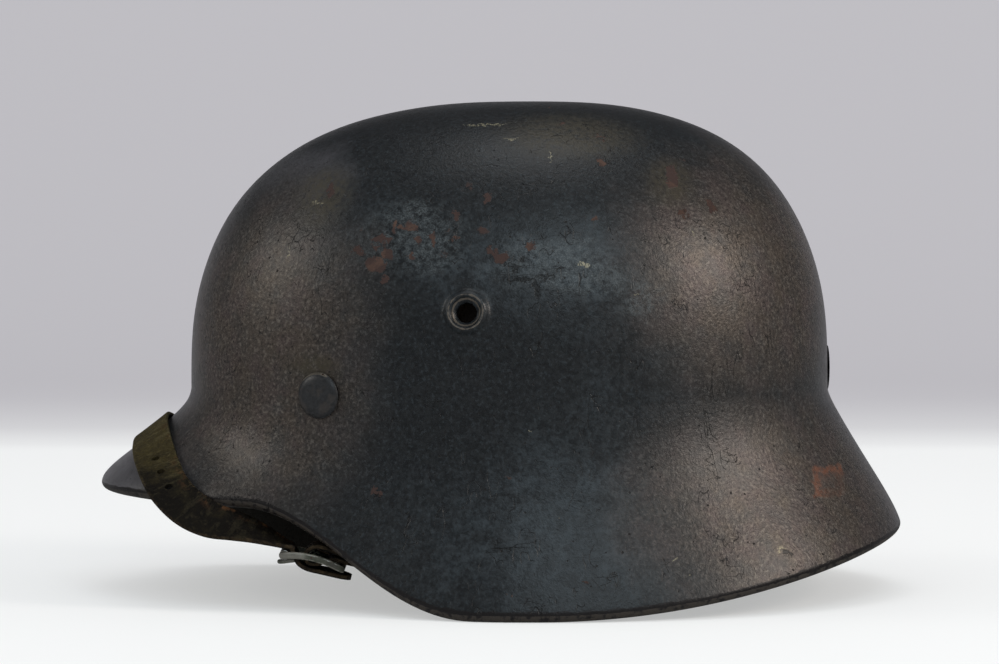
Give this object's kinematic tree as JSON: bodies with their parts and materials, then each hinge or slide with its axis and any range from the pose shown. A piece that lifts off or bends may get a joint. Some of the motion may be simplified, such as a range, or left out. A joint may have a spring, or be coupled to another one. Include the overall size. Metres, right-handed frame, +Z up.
{
  "type": "steel service helmet",
  "caption": "Pressed steel service helmet with a flared rolled rim, pressed vent bosses, a leather liner riveted to sprung steel bands, and a buckled leather chinstrap.",
  "frame": {"origin": "under the middle of the shell's outline, at the level of the surface that its rim stands on", "axes": "-X is the front with the visor, +X the neck guard, -Y the wearer's left, +Z up"},
  "size_m": [0.2793, 0.2258, 0.17],
  "materials": {
    "shell_paint": "aged satin blue-grey paint, rubbed brown at the skirt, with rust specks and scratches",
    "pin_paint": "the shell's paint over a domed steel head, rubbed at the crest",
    "band_steel": "dull zinc-plated sheet with light tarnish",
    "spring_steel": "dark spring steel",
    "rivet_steel": "dull steel with brown tarnish in the corners",
    "felt": "pressed grey-brown wool felt",
    "liner_leather": "aged brown pigskin, darkened where it is handled",
    "cord": "laid cotton cord",
    "bail_steel": "blackened steel, worn at the edges",
    "strap_leather": "olive-brown leather, burnished, with paler worn edges",
    "buckle_paint": "grey-green paint worn to steel on the edges",
    "roller_steel": "bare worn steel, bright where the strap runs"
  },
  "bodies": {
    "helmet": {"shell": "shell_paint", "split_pin_left": "pin_paint", "split_pin_right": "pin_paint", "split_pin_rear": "pin_paint", "outer_band": "band_steel", "inner_band": "band_steel", "spring_front_left": "spring_steel", "spring_front_right": "spring_steel", "spring_rear_left": "spring_steel", "spring_rear_right": "spring_steel", "liner_rivets": "rivet_steel", "felt_pad": "felt", "leather_liner": "liner_leather", "drawstring": "cord", "bail_clip_left": "bail_steel", "bail_clip_right": "bail_steel", "chinstrap_short": "strap_leather", "chinstrap_long": "strap_leather", "strap_stud_buckle": "rivet_steel", "buckle_frame": "buckle_paint"},
    "bail_left": {"bail_left": "bail_steel", "strap_stud_left": "rivet_steel"},
    "bail_right": {"bail_right": "bail_steel", "strap_stud_right": "rivet_steel"},
    "roller": {"buckle_roller": "roller_steel"},
    "prong": {"buckle_prong": "buckle_paint"}
  },
  "joints": [
    {"name": "bail_left_swing", "type": "hinge", "parent": "helmet", "child": "bail_left", "pos_m": [-0.00539, -0.08556, 0.05812], "axis": [-0.9953, 0.0965, 0], "range_deg": [-45, 15], "deforming": ["chinstrap_short"]},
    {"name": "bail_right_swing", "type": "hinge", "parent": "helmet", "child": "bail_right", "pos_m": [-0.00539, 0.08556, 0.05812], "axis": [-0.9953, -0.0965, 0], "range_deg": [-15, 45], "deforming": ["chinstrap_long"]},
    {"name": "prong_lift", "type": "hinge", "parent": "helmet", "child": "prong", "pos_m": [-0.062, -0.075, 0.0183], "axis": [0, -1, 0], "range_deg": [0, 18]},
    {"name": "roller_spin", "type": "hinge", "parent": "helmet", "child": "roller", "pos_m": [-0.07168, -0.075, 0.01912], "axis": [0, 1, 0], "continuous": true}
  ]
}
